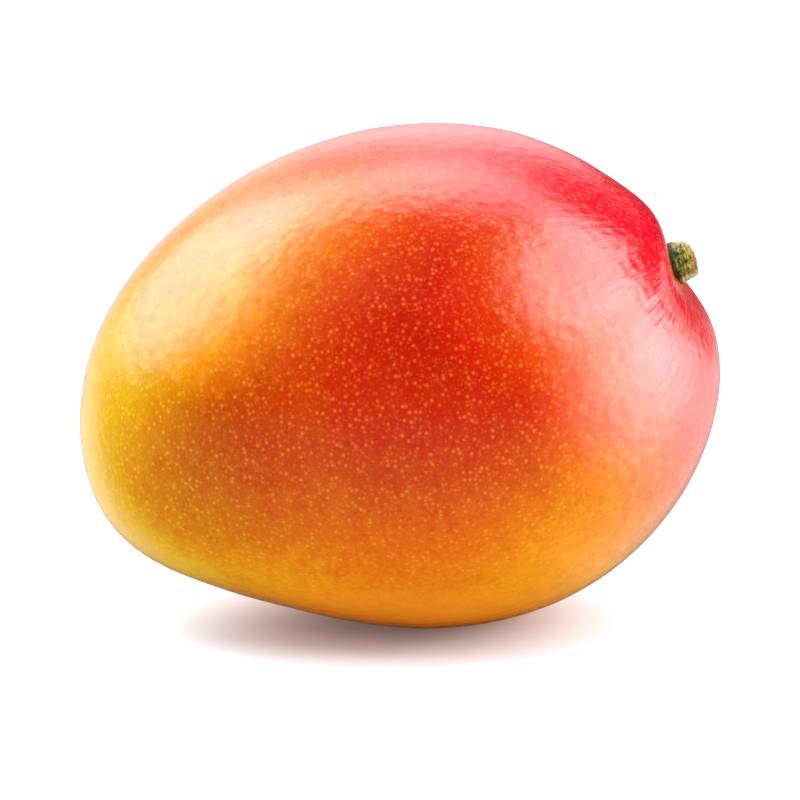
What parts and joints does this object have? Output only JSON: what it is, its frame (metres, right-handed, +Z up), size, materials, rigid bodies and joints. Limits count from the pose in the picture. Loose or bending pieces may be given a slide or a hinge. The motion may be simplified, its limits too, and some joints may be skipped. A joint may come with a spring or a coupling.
{
  "type": "mango",
  "caption": "Whole ripe mango lying on its cheek, egg-shaped with a stem cavity, a blunt beak end, a small flat spot underneath and a cut stem stub.",
  "frame": {"origin": "middle of the flat spot that the mango lies on", "axes": "+X along the fruit towards its stem end, +Z straight up as it lies, -Y towards the belly side, which faces the viewer"},
  "size_m": [0.1201, 0.1013, 0.0934],
  "materials": {
    "mango_skin": "waxy satin gloss, yellow at the beak end through orange to crimson at the stem, with pale lenticel dots",
    "stem_bark": "dull olive bark with whitish dried sap, tan and brown on the cut end"
  },
  "bodies": {
    "root": {"fruit": "mango_skin", "stem": "stem_bark"}
  },
  "joints": []
}
